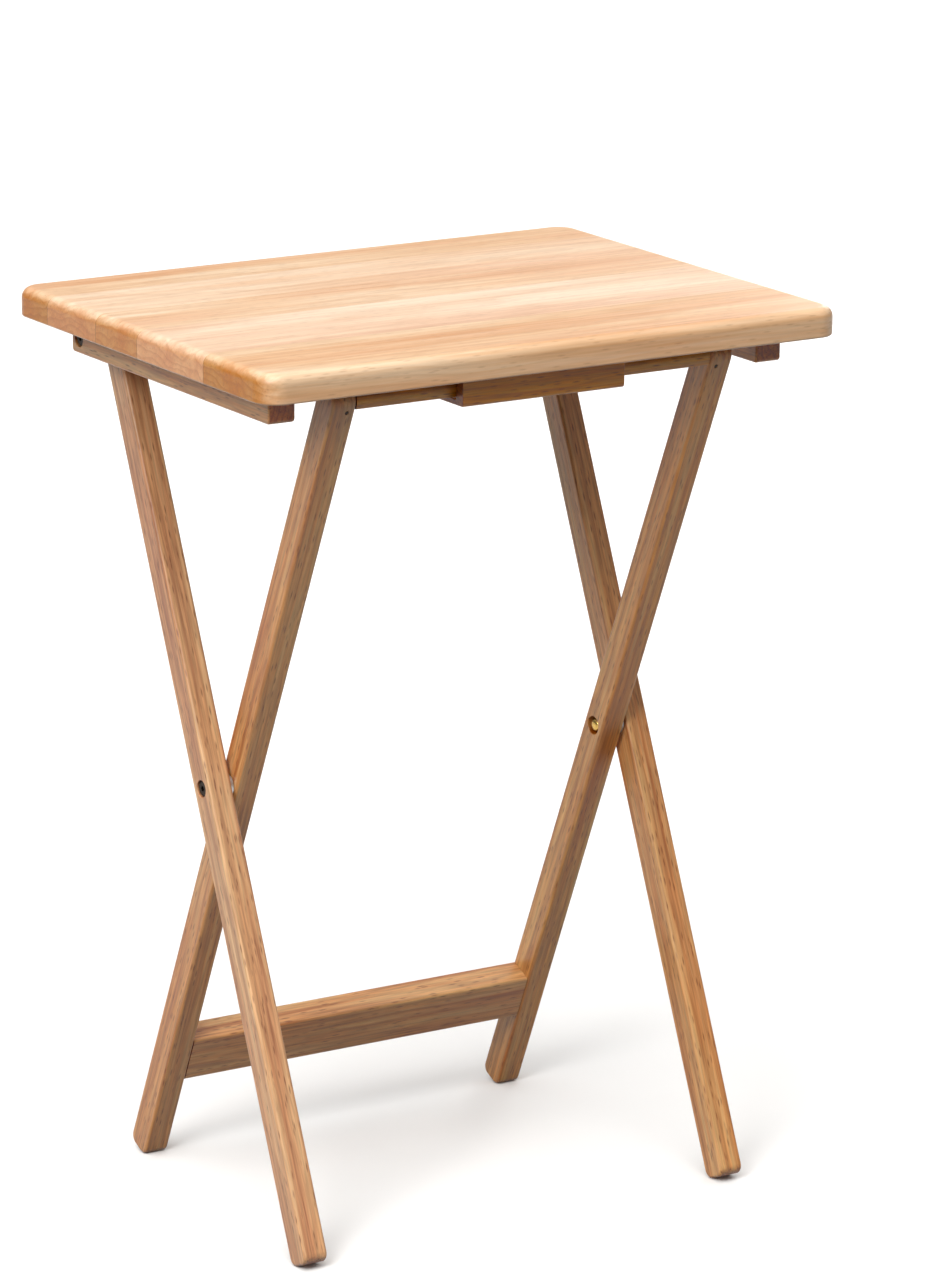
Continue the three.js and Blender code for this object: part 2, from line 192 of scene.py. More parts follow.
def lacquered_rubberwood(name, tones, end_tint, cloud_share, band_share, vessel_share,
                         fibre_low):
    """Planed rubberwood in satin lacquer. Tones go from the pale ground to the late bands."""
    pale, warm, deep, blush = tones
    material, tree = empty_material(name)
    own = add_node(tree, "ShaderNodeAttribute", attribute_name="own_place")
    place = add_node(tree, "ShaderNodeVectorMath",
                     {0: own.outputs["Vector"], "Scale": 1 / MM}, operation="SCALE")
    board = add_node(tree, "ShaderNodeAttribute", attribute_name="board")
    tone = add_node(tree, "ShaderNodeAttribute", attribute_name="tone")
    end_grain = add_node(tree, "ShaderNodeAttribute", attribute_name="end_grain")
    shift = add_node(tree, "ShaderNodeVectorMath",
                     {0: LOG_STEP, "Scale": board.outputs["Fac"]}, operation="SCALE")
    in_log = add_node(tree, "ShaderNodeVectorMath",
                      {0: place.outputs[0], 1: shift.outputs[0]}, operation="ADD")

    def squeezed(size):
        """The place in the log, counted in pattern cells of that size in mm."""
        cells = [1 / side for side in size]
        return add_node(tree, "ShaderNodeVectorMath", {0: in_log.outputs[0], 1: cells},
                        operation="MULTIPLY").outputs[0]

    # Growth bands are circles round the heart of the log, which lies beside each board.
    chance = add_node(tree, "ShaderNodeTexWhiteNoise", {"W": board.outputs["Fac"]},
                      noise_dimensions="1D")
    heart = add_node(tree, "ShaderNodeVectorMath",
                     {0: chance.outputs["Color"], 1: HEART_SPREAD, 2: HEART_NEAR},
                     operation="MULTIPLY_ADD")
    from_heart = add_node(tree, "ShaderNodeVectorMath",
                          {0: place.outputs[0], 1: heart.outputs[0]}, operation="SUBTRACT")
    flattened = add_node(tree, "ShaderNodeVectorMath",
                         {0: from_heart.outputs[0], 1: (0, 1, 1)}, operation="MULTIPLY")
    radius = add_node(tree, "ShaderNodeVectorMath", {0: flattened.outputs[0]},
                      operation="LENGTH")
    wander = add_node(tree, "ShaderNodeTexNoise",
                      {"Vector": squeezed(WANDER_SIZE), "Scale": 1, "Detail": 2})
    bent = add_node(tree, "ShaderNodeMath",
                    {0: wander.outputs["Fac"], 1: BAND_WANDER, 2: radius.outputs["Value"]},
                    operation="MULTIPLY_ADD")
    split = add_node(tree, "ShaderNodeSeparateXYZ", {0: place.outputs[0]})
    tapered = add_node(tree, "ShaderNodeMath",
                       {0: split.outputs["X"], 1: TAPER, 2: bent.outputs[0]},
                       operation="MULTIPLY_ADD")
    count = add_node(tree, "ShaderNodeMath", {0: tapered.outputs[0], 1: BAND_SPACING},
                     operation="DIVIDE")
    within = add_node(tree, "ShaderNodeMath", {0: count.outputs[0]}, operation="FRACT")
    band = add_stops(tree, within.outputs[0], [(0, 0.05), (0.5, 0.25), (0.86, 1), (1, 0.05)])

    # Streaks and wider clouds of colour make the ground.
    streak = add_node(tree, "ShaderNodeTexNoise",
                      {"Vector": squeezed(STREAK_SIZE), "Scale": 1, "Detail": 4,
                       "Roughness": 0.62})
    cloud = add_node(tree, "ShaderNodeTexNoise",
                     {"Vector": squeezed(CLOUD_SIZE), "Scale": 1, "Detail": 2})
    streaked = add_stops(tree, streak.outputs["Fac"],
                         [(0.37, pale), (0.5, warm), (0.64, deep)])
    clouded = add_stops(tree, cloud.outputs["Fac"],
                        [(0.34, pale), (0.5, warm), (0.66, blush)])
    ground = add_node(tree, "ShaderNodeMix",
                      {0: cloud_share, 6: streaked.outputs[0], 7: clouded.outputs[0]},
                      data_type="RGBA")

    # The late part of each band is deeper, most of all where the board is cut across.
    band_reach = add_node(tree, "ShaderNodeMath",
                          {0: end_grain.outputs["Fac"], 1: 0.45, 2: band_share},
                          operation="MULTIPLY_ADD")
    band_depth = add_node(tree, "ShaderNodeMath",
                          {0: band.outputs[0], 1: band_reach.outputs[0]},
                          operation="MULTIPLY")
    banded = add_node(tree, "ShaderNodeMix",
                      {0: band_depth.outputs[0], 6: ground.outputs[2], 7: linear(deep)},
                      data_type="RGBA")
    fibre = add_node(tree, "ShaderNodeTexNoise",
                     {"Vector": squeezed(FIBRE_SIZE), "Scale": 1, "Detail": 2})
    fibre_shade = add_stops(tree, fibre.outputs["Fac"], [(0.3, fibre_low), (0.7, 1.0)])
    fibred = add_node(tree, "ShaderNodeMix",
                      {0: 1.0, 6: banded.outputs[2], 7: fibre_shade.outputs[0]},
                      data_type="RGBA", blend_type="MULTIPLY")

    # A vessel is the dark core of a long thin cell.
    cell = add_node(tree, "ShaderNodeTexVoronoi",
                    {"Vector": squeezed(VESSEL_SIZE), "Scale": 1})
    vessel = add_stops(tree, cell.outputs["Distance"], [(0.1, 1), (0.3, 0)])
    vessel_depth = add_node(tree, "ShaderNodeMath", {0: vessel.outputs[0], 1: vessel_share},
                            operation="MULTIPLY")
    vessel_tint = add_node(tree, "ShaderNodeMix",
                           {0: vessel_depth.outputs[0], 6: fibred.outputs[2],
                            7: linear(VESSEL_TINT)}, data_type="RGBA")

    # End grain drinks more lacquer, and each board has its own depth of colour. On the
    # crossbar and the hook that deeper colour is partly painted shade from the panel above.
    cut_across = add_node(tree, "ShaderNodeMix",
                          {0: end_grain.outputs["Fac"], 6: vessel_tint.outputs[2],
                           7: linear(end_tint)}, data_type="RGBA", blend_type="MULTIPLY")
    end_contrast = add_node(tree, "ShaderNodeMath",
                            {0: end_grain.outputs["Fac"], 1: -0.35, 2: -0.13},
                            operation="MULTIPLY_ADD")
    brightness = add_node(tree, "ShaderNodeMath",
                          {0: tone.outputs["Fac"], 1: end_contrast.outputs[0], 2: 1},
                          operation="MULTIPLY_ADD")
    richness = add_node(tree, "ShaderNodeMath", {0: tone.outputs["Fac"], 1: 0.3, 2: 1},
                        operation="MULTIPLY_ADD")
    toned = add_node(tree, "ShaderNodeHueSaturation",
                     {"Color": cut_across.outputs[2], "Value": brightness.outputs[0],
                      "Saturation": richness.outputs[0]})

    # Lacquer fills most of the relief: what is left is a shallow dip over fibres and vessels.
    dip = add_node(tree, "ShaderNodeMath",
                   {0: vessel.outputs[0], 1: -0.6, 2: fibre.outputs["Fac"]},
                   operation="MULTIPLY_ADD")
    relief = add_node(tree, "ShaderNodeBump",
                      {"Strength": 0.22, "Distance": 0.12 * MM, "Height": dip.outputs[0]})
    satin = add_node(tree, "ShaderNodeMapRange",
                     {"Value": fibre.outputs["Fac"], "To Min": 0.36, "To Max": 0.5})
    shader = add_node(tree, "ShaderNodeBsdfPrincipled",
                      {"Base Color": toned.outputs[0], "Roughness": satin.outputs[0],
                       "Normal": relief.outputs[0], "IOR": 1.5, "Coat Weight": 0.25,
                       "Coat Roughness": 0.3, "Coat IOR": 1.5})
    add_node(tree, "ShaderNodeOutputMaterial", {"Surface": shader.outputs[0]})
    print(name, "made of", len(tree.nodes), "nodes")
    return material


panel_rubberwood = lacquered_rubberwood(
    "Rubberwood_panel_satin_lacquered", ("#F5DBBD", "#ECC5A0", "#D09D72", "#E4B18C"),
    "#EAC292", cloud_share=0.62, band_share=0.25, vessel_share=0.22, fibre_low=0.88)
frame_rubberwood = lacquered_rubberwood(
    "Rubberwood_frame_satin_lacquered", ("#F8CA8E", "#E7A66A", "#A85C2E", "#D38C5E"),
    "#D8A67C", cloud_share=0.4, band_share=0.38, vessel_share=0.68, fibre_low=0.66)

# %% [markdown]
# ## Metal finishes
#
# Three finishes of steel hold the table together. The cap nuts and threaded inserts are
# brass-plated, turned and lightly polished. The pivot bolts, the washers behind the nuts and
# the small nails are blackened. The screws and spacers are zinc-plated, a cool grey with a
# soft cloudy shine. Dowels are bare beech.
#
# All three metals share one build-up: a metal colour, a cloudy roughness, and the fine rings
# that a lathe or a die leaves round the axis. Turned pieces are made with z as their axis, so
# rings are circles in x and y. Real tool marks are about 0.05 mm apart, so they are drawn at
# 0.4 mm.

# %% Metals and bare beech
def plated_metal(name, colour, low_roughness, high_roughness, mark_depth):
    """Turned or pressed metal with faint tool marks round its axis."""
    material, tree = empty_material(name)
    own = add_node(tree, "ShaderNodeAttribute", attribute_name="own_place")
    place = add_node(tree, "ShaderNodeVectorMath",
                     {0: own.outputs["Vector"], "Scale": 1 / MM}, operation="SCALE")
    marks = add_node(tree, "ShaderNodeTexWave",
                     {"Vector": place.outputs[0], "Scale": 0.8, "Distortion": 0.6},
                     wave_type="RINGS", rings_direction="Z")
    cloud = add_node(tree, "ShaderNodeTexNoise",
                     {"Vector": place.outputs[0], "Scale": 0.5, "Detail": 4})
    rough = add_node(tree, "ShaderNodeMapRange",
                     {"Value": cloud.outputs["Fac"], "From Min": 0.3, "From Max": 0.7,
                      "To Min": low_roughness, "To Max": high_roughness})
    shade = add_stops(tree, cloud.outputs["Fac"], [(0.3, 0.8), (0.7, 1.0)])
    tinted = add_node(tree, "ShaderNodeMix",
                      {0: 1.0, 6: linear(colour), 7: shade.outputs[0]},
                      data_type="RGBA", blend_type="MULTIPLY")
    relief = add_node(tree, "ShaderNodeBump",
                      {"Strength": mark_depth, "Distance": 0.03 * MM,
                       "Height": marks.outputs["Fac"]})
    shader = add_node(tree, "ShaderNodeBsdfPrincipled",
                      {"Base Color": tinted.outputs[2], "Metallic": 1.0,
                       "Roughness": rough.outputs[0], "Normal": relief.outputs[0]})
    add_node(tree, "ShaderNodeOutputMaterial", {"Surface": shader.outputs[0]})
    return material


FLECK_SIZE = (0.6, 0.6, 2)    # mm


def bare_beech(name):
    """Unlacquered beech: pinkish, with short dark ray flecks."""
    material, tree = empty_material(name)
    own = add_node(tree, "ShaderNodeAttribute", attribute_name="own_place")
    cells = add_node(tree, "ShaderNodeVectorMath",
                     {0: own.outputs["Vector"], 1: [1 / MM / side for side in FLECK_SIZE]},
                     operation="MULTIPLY")
    flecks = add_node(tree, "ShaderNodeTexVoronoi", {"Vector": cells.outputs[0], "Scale": 1})
    colour = add_stops(tree, flecks.outputs["Distance"], [(0.1, "#A8784E"), (0.4, "#D8B289")])
    relief = add_node(tree, "ShaderNodeBump",
                      {"Strength": 0.3, "Distance": 0.1 * MM,
                       "Height": flecks.outputs["Distance"]})
    shader = add_node(tree, "ShaderNodeBsdfPrincipled",
                      {"Base Color": colour.outputs[0], "Roughness": 0.7,
                       "Normal": relief.outputs[0]})
    add_node(tree, "ShaderNodeOutputMaterial", {"Surface": shader.outputs[0]})
    return material


plated_brass = plated_metal("Brass_plated_steel_turned", "#D2AE62", 0.2, 0.34, 0.3)
black_steel = plated_metal("Steel_blackened", "#3B332C", 0.4, 0.6, 0.2)
zinc_steel = plated_metal("Steel_zinc_plated", "#BFC1C2", 0.28, 0.5, 0.2)
beech = bare_beech("Beech_bare_turned")
print("metals:", plated_brass.name, black_steel.name, zinc_steel.name)

# %% [markdown]
# ## Sawing, rounding and drilling
#
# A wooden piece on this table is nearly always a flat outline sawn from a board, so one maker
# draws the outline and sweeps it straight through. Its sharp edges are then rounded over by a
# bevel with a circular profile, which catches the light as sanded edges do. A bevel modifier
# could do this too, but bmesh can pick edges by the direction they run in.
#
# Holes are cut by boolean modifiers with turned cutters, because that is how the real holes
# are made and it keeps their walls clean. Last come the normals: a weighted normal modifier
# makes wide flat faces look flat right up to their rounded edges.

# %% Outlines and swept boards
def arc(centre, radius, start, end, steps=24):
    """Points round an arc, with its angles in degrees."""
    turns = [math.radians(start + (end - start) * i / steps) for i in range(steps + 1)]
    return [(centre[0] + radius * math.cos(t), centre[1] + radius * math.sin(t)) for t in turns]


def swept(outline, along):
    """A closed solid, from a flat outline of points swept straight along a vector."""
    mesh = bmesh.new()
    near = [mesh.verts.new(point) for point in outline]
    far = [mesh.verts.new(point + along) for point in outline]
    mesh.faces.new(near)
    mesh.faces.new(far)
    for i, first in enumerate(near):
        j = (i + 1) % len(near)
        mesh.faces.new((first, near[j], far[j], far[i]))
    bmesh.ops.recalc_face_normals(mesh, faces=mesh.faces)
    return mesh


def round_over(mesh, radius, direction=None):
    """Rounds the sharp edges, or just those that run in a direction."""
    chosen = []
    for edge in mesh.edges:
        sharp = edge.calc_face_angle(0) > math.radians(30)
        run = (edge.verts[1].co - edge.verts[0].co).normalized()
        if sharp and (direction is None or abs(run.dot(direction)) > 0.99):
            chosen.append(edge)
    bmesh.ops.bevel(mesh, geom=chosen, offset=radius, segments=5, profile=0.5,
                    affect="EDGES", clamp_overlap=False)
    return mesh


def put_down(name, mesh, origin=Vector(), along=across, through=Vector((0, 0, 1))):
    """An object whose x axis runs along and whose z axis points through."""
    data = bpy.data.meshes.new(name)
    mesh.to_mesh(data)
    mesh.free()
    piece = bpy.data.objects.new(name, data)
    bpy.context.scene.collection.objects.link(piece)
    turn = Matrix((along, through.cross(along), through)).transposed()
    piece.matrix_world = Matrix.Translation(origin) @ turn.to_4x4()
    return piece


print("a half circle has", len(arc((0, 0), 1, 0, 180)), "points")

# %% Turned solids, drilling and the last touches
def turned(name, profile, start, direction, facets=64):
    """A turned solid, from (radius, distance along the axis) pairs in order."""
    mesh = bmesh.new()
    rings = []
    for radius, height in profile:
        if (radius, height) == profile[0] and rings:
            rings.append(rings[0])
        elif radius == 0:
            rings.append([mesh.verts.new((0, 0, height))])
        else:
            turns = [math.tau * i / facets for i in range(facets)]
            rings.append([mesh.verts.new((radius * math.cos(t), radius * math.sin(t), height))
                          for t in turns])
    for low, high in zip(rings, rings[1:]):
        for i in range(facets):
            corners = [low[i % len(low)], low[(i + 1) % len(low)],
                       high[(i + 1) % len(high)], high[i % len(high)]]
            mesh.faces.new(list(dict.fromkeys(corners)))
    bmesh.ops.recalc_face_normals(mesh, faces=mesh.faces)
    side = across if abs(direction.dot(across)) < 0.9 else Vector((0, 1, 0))
    return put_down(name, mesh, start, along=side.cross(direction).normalized(),
                    through=direction.normalized())


def apply_modifiers(piece):
    """Turns the modifiers' result into the piece's own mesh."""
    graph = bpy.context.evaluated_depsgraph_get()
    done = bpy.data.meshes.new_from_object(piece.evaluated_get(graph), depsgraph=graph)
    done.name = piece.name
    piece.modifiers.clear()
    piece.data = done


def cut_out(piece, cutters):
    """Cuts the cutters out of the piece and throws them away."""
    for cutter in cutters:
        saw = piece.modifiers.new("cut", "BOOLEAN")
        saw.operation = "DIFFERENCE"
        saw.solver = "EXACT"
        saw.object = cutter
    apply_modifiers(piece)
    for cutter in cutters:
        bpy.data.objects.remove(cutter)


def smooth_off(piece):
    """Smooth shading, with crisp edges kept and flat faces left flat."""
    for face in piece.data.polygons:
        face.use_smooth = True
    piece.data.set_sharp_from_angle(angle=math.radians(32))
    flat = piece.modifiers.new("flat faces", "WEIGHTED_NORMAL")
    flat.keep_sharp = True
    apply_modifiers(piece)
    return piece


def hand_over(piece, node, material):
    """The piece takes the place of a node of the model, and moves with that node's body."""
    own_place = piece.data.attributes.new("own_place", "FLOAT_VECTOR", "POINT")
    for vert in piece.data.vertices:
        own_place.data[vert.index].vector = vert.co
    piece.data.transform(piece.matrix_world)
    piece.matrix_world = Matrix.Identity(4)
    piece.data.materials.clear()
    piece.data.materials.append(material)
    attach(piece, body_of_node[node])
    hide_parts(node)
    return piece


print("makers ready")

# %% [markdown]
# ## Telling the wood pattern about each board
#
# The shader needs to know which board it is painting, how deep its colour is, and where the
# end grain shows. These could be three settings on each object, but the panel is one object
# with five boards in it. So they are stored in the mesh itself: two values for each face, and
# one for each corner, worked out from the corner's own normal once its shape is final.

# %% Board marks
def mark_boards(piece, board_at, tone_at):
    """Writes board, tone and end_grain. Board and tone are worked out from a face's middle."""
    data = piece.data
    board = data.attributes.new("board", "FLOAT", "FACE")
    tone = data.attributes.new("tone", "FLOAT", "FACE")
    for face in data.polygons:
        board.data[face.index].value = board_at(face.center)
        tone.data[face.index].value = tone_at(face.center)
    end_grain = data.attributes.new("end_grain", "FLOAT", "CORNER")
    for corner, normal in enumerate(data.corner_normals):
        end_grain.data[corner].value = abs(normal.vector.x) ** 4


def hand_over_board(piece, node, board, tone):
    """Hands over a piece of the frame that is sawn from one board."""
    mark_boards(smooth_off(piece), lambda middle: board, lambda middle: tone)
    hand_over(piece, node, frame_rubberwood)
    print(node, len(piece.data.polygons), "faces")


print("attributes:", "board, tone, end_grain")

# %% [markdown]
# ## The panel
#
# The top is five staves edge-glued into one panel, with rounded corners, a wide soft edge
# above and a nearly square one below. It could be a box with bevels, but the wide and the
# narrow rounding meet at the corners, so it is lofted instead: one rounded rectangle is drawn
# at each height, set in by as much as the edge has curved away, and the rings are joined.
#
# The rings are then sawn at each glue line, so that every face belongs to one stave.

# %% Panel of five staves
panel_low, panel_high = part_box("tabletop")
PANEL_CORNER = 18 * MM
PANEL_ROUNDING = 8 * MM
PANEL_LOWER_EASE = 1.5 * MM
FLAT_MARGIN = 2 * MM          # from the curve to the first ring that lies on the flat
STAVE_WIDTHS = [86, 95, 61, 73, 53]            # mm, from the front edge to the back
STAVE_BOARDS = [11, 4, 7, 16, 9]
STAVE_TONES = [0.5, -0.2, 0.25, 0.05, 0.45]
GLUE_WIDTH = 0.5 * MM         # a real glue line is 0.1 mm: drawn wider so that it shows
GLUE_TONE = 1.3


def panel_ring(inset, height):
    """A rounded rectangle, set in from the panel's outline."""
    radius = PANEL_CORNER - inset
    reach_x = panel_high.x - PANEL_CORNER
    reach_y = panel_high.y - PANEL_CORNER
    points = []
    for sx, sy, start in ((1, 1, 0), (-1, 1, 90), (-1, -1, 180), (1, -1, 270)):
        corner = arc((sx * reach_x, sy * reach_y), radius, start, start + 90, 14)
        points += [Vector((x, y, height)) for x, y in corner]
    return points


def panel_rings():
    """Rings from the middle of the underside, round the edge, to the middle of the face."""
    rings = [panel_ring(PANEL_LOWER_EASE + FLAT_MARGIN, panel_low.z)]
    for i in range(6):
        turn = math.radians(90 * i / 5)
        rings.append(panel_ring(PANEL_LOWER_EASE * (1 - math.sin(turn)),
                                panel_low.z + PANEL_LOWER_EASE * (1 - math.cos(turn))))
    for i in range(15):
        turn = math.radians(90 * i / 14)
        rings.append(panel_ring(PANEL_ROUNDING * (1 - math.cos(turn)),
                                panel_high.z - PANEL_ROUNDING * (1 - math.sin(turn))))
    rings.append(panel_ring(PANEL_ROUNDING + FLAT_MARGIN, panel_high.z))
    return rings


panel_mesh = bmesh.new()
loft = [[panel_mesh.verts.new(point) for point in ring] for ring in panel_rings()]
for lower, upper in zip(loft, loft[1:]):
    for i, vert in enumerate(lower):
        j = (i + 1) % len(lower)
        panel_mesh.faces.new((vert, lower[j], upper[j], upper[i]))
panel_mesh.faces.new(reversed(loft[0]))
panel_mesh.faces.new(loft[-1])

glue_lines = []
edge_of_stave = panel_low.y
for width in STAVE_WIDTHS[:-1]:
    edge_of_stave += width * MM
    glue_lines.append(edge_of_stave)
    for saw_line in (edge_of_stave - GLUE_WIDTH / 2, edge_of_stave + GLUE_WIDTH / 2):
        everything = panel_mesh.verts[:] + panel_mesh.edges[:] + panel_mesh.faces[:]
        bmesh.ops.bisect_plane(panel_mesh, geom=everything, plane_co=(0, saw_line, 0),
                               plane_no=(0, 1, 0))
print("glue lines at", [round(y / MM) for y in glue_lines], "mm")

# %% [markdown]
# ## Screws and their holes
#
# Eight countersunk screws come up from below: three through each cleat and two through the
# hook. Their shanks run up into the panel, so each hole is a cutter of the screw's own shape
# with a little room round it. The heads have a cross slot, cut by sweeping a plus sign.

# %% Wood screws
SCREW_ROOM = 0.3 * MM
SCREW_RIM = 0.6 * MM
SCREW_TIP = 4 * MM
SLOT_DEPTH = 1.4 * MM


def foot_of(low, high):
    """The middle of the underside of a box."""
    return Vector(((low.x + high.x) / 2, (low.y + high.y) / 2, low.z))


def screw_profile(low, high, room):
    """The outline of a screw that fills a box, grown by some room."""
    head = (high.x - low.x) / 2
    shank = head * 0.5
    length = high.z - low.z
    deep = length + (MM if room else 0)
    cone = head - shank
    return [(0, -room), (head + room, -room), (head + room, SCREW_RIM),
            (shank + room, SCREW_RIM + cone), (shank + room, deep - SCREW_TIP),
            (0.4 * MM + room, deep), (0, deep)]


def screw_hole(node):
    """A cutter for the hole of one screw."""
    low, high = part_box(node)
    return turned("hole", screw_profile(low, high, SCREW_ROOM), foot_of(low, high),
                  Vector((0, 0, 1)))


def cross_slot(node):
    """A cutter shaped like the tip of a cross-head driver."""
    low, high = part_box(node)
    arm, half = (high.x - low.x) * 0.29, 0.45 * MM
    plus = [(half, half), (half, arm), (-half, arm), (-half, half), (-arm, half),
            (-arm, -half), (-half, -half), (-half, -arm), (half, -arm), (half, -half),
            (arm, -half), (arm, half)]
    slot = swept([Vector((x, y, -MM)) for x, y in plus], Vector((0, 0, SLOT_DEPTH + MM)))
    return put_down("slot", slot, foot_of(low, high))


cleat_screws = {side: [f"cleat_screw_{place}_{side}" for place in ("front", "middle", "back")]
                for side in ("left", "right")}
hook_screws = ["latch_screw_left", "latch_screw_right"]
all_screws = cleat_screws["left"] + cleat_screws["right"] + hook_screws
for node in all_screws:
    low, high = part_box(node)
    screw = turned(node + "_shown", screw_profile(low, high, 0), foot_of(low, high),
                   Vector((0, 0, 1)))
    cut_out(screw, [cross_slot(node)])
    hand_over(smooth_off(screw), node, zinc_steel)

panel = put_down("panel_of_staves", panel_mesh)
cut_out(panel, [screw_hole(node) for node in all_screws])


def stave_at(middle):
    """Which stave a place on the panel belongs to, counted from the front."""
    return sum(middle.y > line for line in glue_lines)


def panel_tone(middle):
    """The tone of a stave, or the deeper tone of the line of glue between two."""
    in_glue = min(abs(middle.y - line) for line in glue_lines) < GLUE_WIDTH / 2
    return GLUE_TONE if in_glue else STAVE_TONES[stave_at(middle)]


mark_boards(smooth_off(panel), lambda middle: STAVE_BOARDS[stave_at(middle)], panel_tone)
hand_over(panel, "tabletop", panel_rubberwood)
print("panel", len(panel.data.polygons), "faces;", len(all_screws), "screws")

# %% [markdown]
# ## Legs
#
# Each leg is a planed bar with a full half-circle at its top and a square foot with rounded
# corners. The grain runs up the leg, so the leg is drawn lying along its own x axis and then
# stood up from its foot to its top pivot. The bores that the pivot bolts turn in are cut where
# the model's bolts are, and the outer legs have a flat recess that the bolt head sits in.

# %% Bores for bolts and dowels
BORE = 3.3 * MM
RECESS = 6.3 * MM
RECESS_DEPTH = 4.5 * MM
NUT_RECESS = 7.0 * MM
NUT_RECESS_DEPTH = 7.2 * MM
RIM = 0.4 * MM            # the sanded rim of a recess
DOWEL_ROOM = 0.3 * MM
NAIL_LENGTH = 16 * MM
NAIL_END_ROOM = 0.6 * MM
into_leg = Vector((0, inner_up.z, -inner_up.y))     # square to the front of the inner legs


def bolt_hole(outer_face, inner_face, place, outward):
    """A bore with a head recess: it starts beyond the inner face and opens outwards."""
    length = abs(outer_face - inner_face) + 2 * MM
    floor = length - MM - RECESS_DEPTH
    profile = [(0, 0), (BORE, 0), (BORE, floor), (RECESS, floor), (RECESS, length - MM - RIM),
               (RECESS + RIM + MM, length), (0, length)]
    start = Vector((inner_face - outward * MM, place.y, place.z))
    return turned("bore", profile, start, across * outward)


def nut_hole(inward, low, high):
    """A bore through an inner leg, with a wide recess for the cap nut on its inner face."""
    length = high.x - low.x + 2 * MM
    floor = length - MM - NUT_RECESS_DEPTH
    profile = [(0, 0), (BORE, 0), (BORE, floor), (NUT_RECESS, floor),
               (NUT_RECESS, length - MM - RIM), (NUT_RECESS + RIM + MM, length), (0, length)]
    start_x = high.x + MM if inward < 0 else low.x - MM
    start = Vector((start_x, centre_pivot.y, centre_pivot.z))
    return turned("bore", profile, start, across * inward)


def plain_hole(radius, start_x, end_x, place):
    """A plain round hole along x."""
    start = Vector((min(start_x, end_x), place.y, place.z))
    length = abs(end_x - start_x)
    return turned("bore", [(0, 0), (radius, 0), (radius, length), (0, length)], start, across)


def dowel_hole(node):
    """A blind hole round a dowel."""
    low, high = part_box(node)
    middle = (low + high) / 2
    return plain_hole((high.z - low.z) / 2 + DOWEL_ROOM, low.x - DOWEL_ROOM,
                      high.x + DOWEL_ROOM, middle)


def nail_hole(node):
    """A hole for a small nail, driven square to the front of the inner leg."""
    low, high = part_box(node)
    middle = (low + high) / 2
    head, shank, thick = 1.6 * MM, 1.0 * MM, 1.6 * MM
    end = NAIL_LENGTH + NAIL_END_ROOM
    profile = [(0, 0), (head, 0), (head, thick), (shank, thick), (shank, end), (0, end)]
    return turned("bore", profile, middle - into_leg * (NAIL_LENGTH / 2 + NAIL_END_ROOM),
                  into_leg)


print("bores of", BORE / MM, "mm, recesses of", RECESS / MM, "mm")

# %% Four legs
LEG_ROUNDING = 2.2 * MM
FOOT_CORNER = 7 * MM


def make_leg(node, board, tone, top_place, up, x_low, cutters):
    """A bar from a squared foot with rounded corners to a full round at its top pivot."""
    spread = leg_radius - FOOT_CORNER
    foot_height = FOOT_CORNER + spread * abs(up.y)
    foot_place = top_place - up * ((top_place.z - foot_height) / up.z)
    half = (top_place - foot_place).length / 2
    outline = arc((half, 0), leg_radius, -90, 90)
    outline += arc((-half, spread), FOOT_CORNER, 90, 180)
    outline += arc((-half, -spread), FOOT_CORNER, 180, 270)
    flat = [Vector((x, y, -leg_thickness / 2)) for x, y in outline]
    mesh = round_over(swept(flat, Vector((0, 0, leg_thickness))), LEG_ROUNDING)
    middle = (top_place + foot_place) / 2
    middle.x = x_low + leg_thickness / 2
    leg = put_down(node + "_shown", mesh, middle, along=up, through=across)
    cut_out(leg, cutters)
    hand_over_board(leg, node, board, tone)
    return leg


for side, outward, board, tone in (("right", 1, 23, 0.15), ("left", -1, 31, -0.2)):
    low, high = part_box(f"outer_leg_{side}")
    outer_face, inner_face = (high.x, low.x) if outward > 0 else (low.x, high.x)
    insert_low, insert_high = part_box(f"top_pivot_insert_{side}")
    insert_radius = (insert_high.z - insert_low.z) / 2 + DOWEL_ROOM
    insert_end = insert_high.x + DOWEL_ROOM if outward > 0 else insert_low.x - DOWEL_ROOM
    cutters = [
        bolt_hole(outer_face, inner_face, centre_pivot, outward),
        plain_hole(BORE, low.x - MM, high.x + MM, top_pivot),
        plain_hole(insert_radius, inner_face - outward * MM, insert_end, top_pivot),
    ]
    make_leg(f"outer_leg_{side}", board, tone, top_pivot, outer_up, low.x, cutters)

for side, inward, board, tone in (("right", -1, 42, 0.3), ("left", 1, 57, 0.15)):
    low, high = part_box(f"inner_leg_{side}")
    cutters = [nut_hole(inward, low, high)]
    for dowel in ("stretcher_dowel_upper", "stretcher_dowel_lower", "crossbar_dowel"):
        cutters.append(dowel_hole(f"{dowel}_{side}"))
    cutters.append(nail_hole(f"crossbar_brad_{side}"))
    make_leg(f"inner_leg_{side}", board, tone, crossbar_place, inner_up, low.x, cutters)

# %% [markdown]
# ## Stretcher and crossbar
#
# Two rails join the inner legs. The stretcher is a flat board low down at the back, set in
# line with the legs and rounded along its long edges only, since its ends butt against them.
# The crossbar is half round on top, so that it can slide along the underside of the panel as
# the table folds. Both are swept along x, so their grain runs from leg to leg.

# %% Two rails
RAIL_ROUNDING = 1.8 * MM


def rail(node, outline, place, board, tone, rounding, cutters):
    """A rail between the inner legs, whose outline stands square to the legs."""
    low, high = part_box(node)
    length = high.x - low.x
    mesh = swept([Vector((-length / 2, y, z)) for y, z in outline], Vector((length, 0, 0)))
    round_over(mesh, rounding, direction=across)
    piece = put_down(node + "_shown", mesh, place, through=inner_up)
    cut_out(piece, cutters)
    hand_over_board(piece, node, board, tone)


